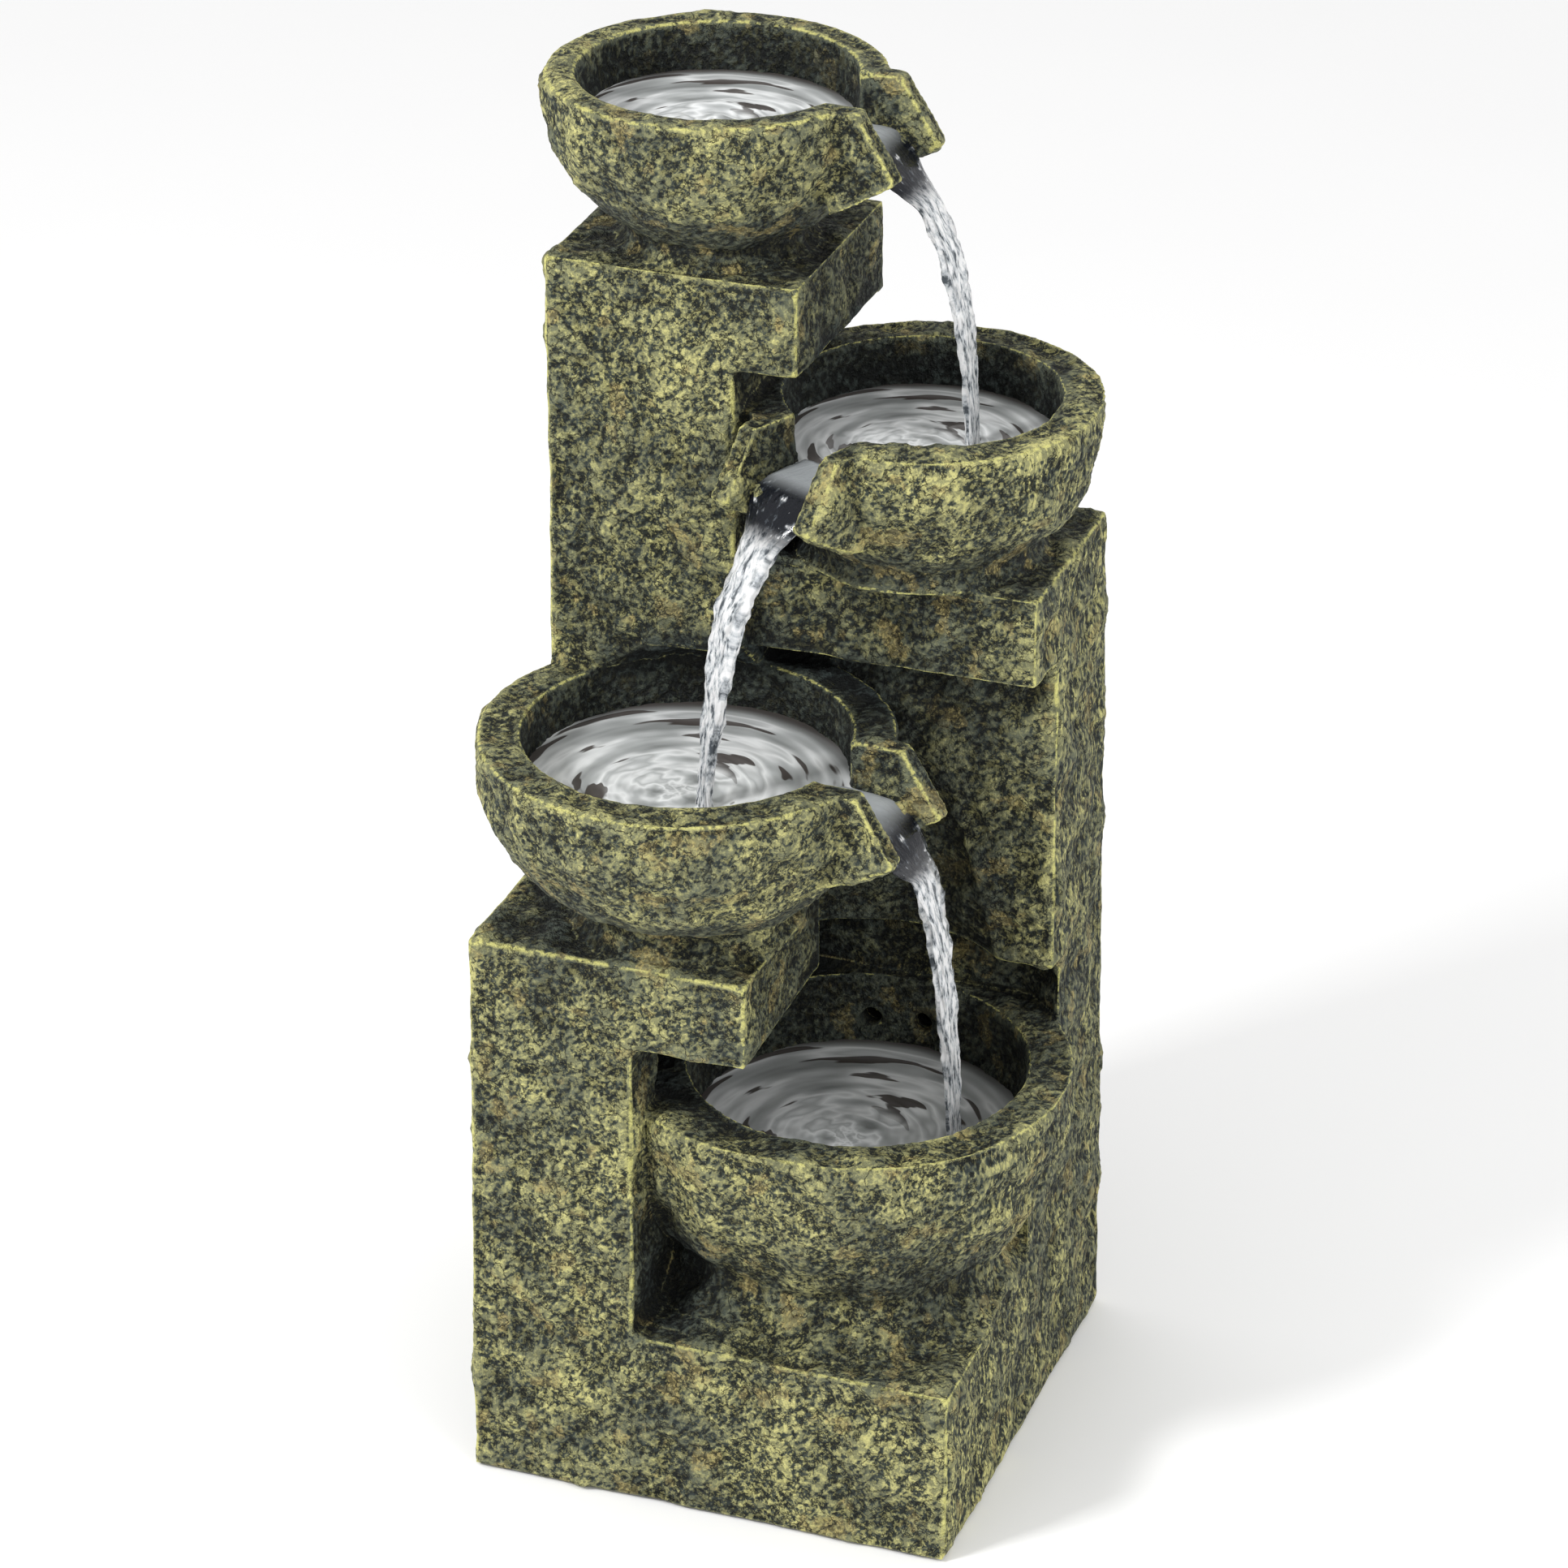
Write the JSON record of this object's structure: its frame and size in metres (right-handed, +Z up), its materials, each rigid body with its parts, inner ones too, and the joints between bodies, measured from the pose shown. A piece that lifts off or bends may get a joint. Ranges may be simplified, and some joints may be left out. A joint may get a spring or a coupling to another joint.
{
  "type": "tabletop water fountain",
  "caption": "Free-standing tabletop fountain of cast stone: bowls step down three towers, a pump in the plinth lifts the water through a hose to the top bowl.",
  "frame": {"origin": "on the table under the centre of the square plinth", "axes": "+Z up, front towards -Y, the tall tower at -X"},
  "size_m": [0.225, 0.2345, 0.5545],
  "materials": {
    "cast_stone": "matte",
    "mat_foam": "matte",
    "door_plastic": "matte",
    "black_rubber": "matte",
    "black_plastic": "satin",
    "clear_hose": "gloss",
    "clip_plastic": "satin",
    "pump_plastic": "satin",
    "potting_resin": "gloss",
    "core_steel": "satin",
    "copper_winding": "satin",
    "ferrite": "matte",
    "impeller_plastic": "satin",
    "shaft_steel": "polished",
    "cover_plastic": "satin",
    "filter_foam": "matte",
    "dial_plastic": "satin",
    "cup_rubber": "satin"
  },
  "bodies": {
    "fountain": {"plinth": "cast_stone", "lower_tower": "cast_stone", "tall_tower": "cast_stone", "side_tower": "cast_stone", "top_bowl": "cast_stone", "second_bowl": "cast_stone", "third_bowl": "cast_stone", "basin_bowl": "cast_stone", "base_mat": "mat_foam", "cable_grommet": "black_rubber", "inlet_fitting": "black_plastic", "inlet_washer": "black_rubber", "inlet_nut": "black_plastic", "riser_hose": "clear_hose", "hose_clips": "clip_plastic", "pump_housing": "pump_plastic", "potting_plug": "potting_resin", "stator_core": "core_steel", "coil": "copper_winding", "rotor_shaft": "shaft_steel", "shaft_bush_rear": "black_rubber", "shaft_bush_front": "black_rubber", "volute_cover": "pump_plastic", "volute_o_ring": "black_rubber", "outlet_adapter": "black_plastic", "suction_cups": "cup_rubber"},
    "rear_door": {"rear_door": "door_plastic"},
    "rotor": {"rotor_magnet": "ferrite", "impeller": "impeller_plastic"},
    "intake": {"intake_cover": "cover_plastic", "filter_sponge": "filter_foam"},
    "flow_dial": {"flow_dial": "dial_plastic"}
  },
  "joints": [
    {"name": "rear_door_pull", "type": "slide", "parent": "fountain", "child": "rear_door", "axis": [0, 1, 0], "range_m": [0, 0.04]},
    {"name": "rotor_spin", "type": "hinge", "parent": "fountain", "child": "rotor", "pos_m": [-0.05375, 0.06142, 0.043], "axis": [1, 0, 0], "continuous": true},
    {"name": "intake_cover_pull", "type": "slide", "parent": "fountain", "child": "intake", "axis": [1, 0, 0], "range_m": [0, 0.02]},
    {"name": "flow_dial_turn", "type": "hinge", "parent": "intake", "child": "flow_dial", "pos_m": [-0.029, 0.06142, 0.043], "axis": [1, 0, 0], "range_deg": [0, 90]}
  ]
}
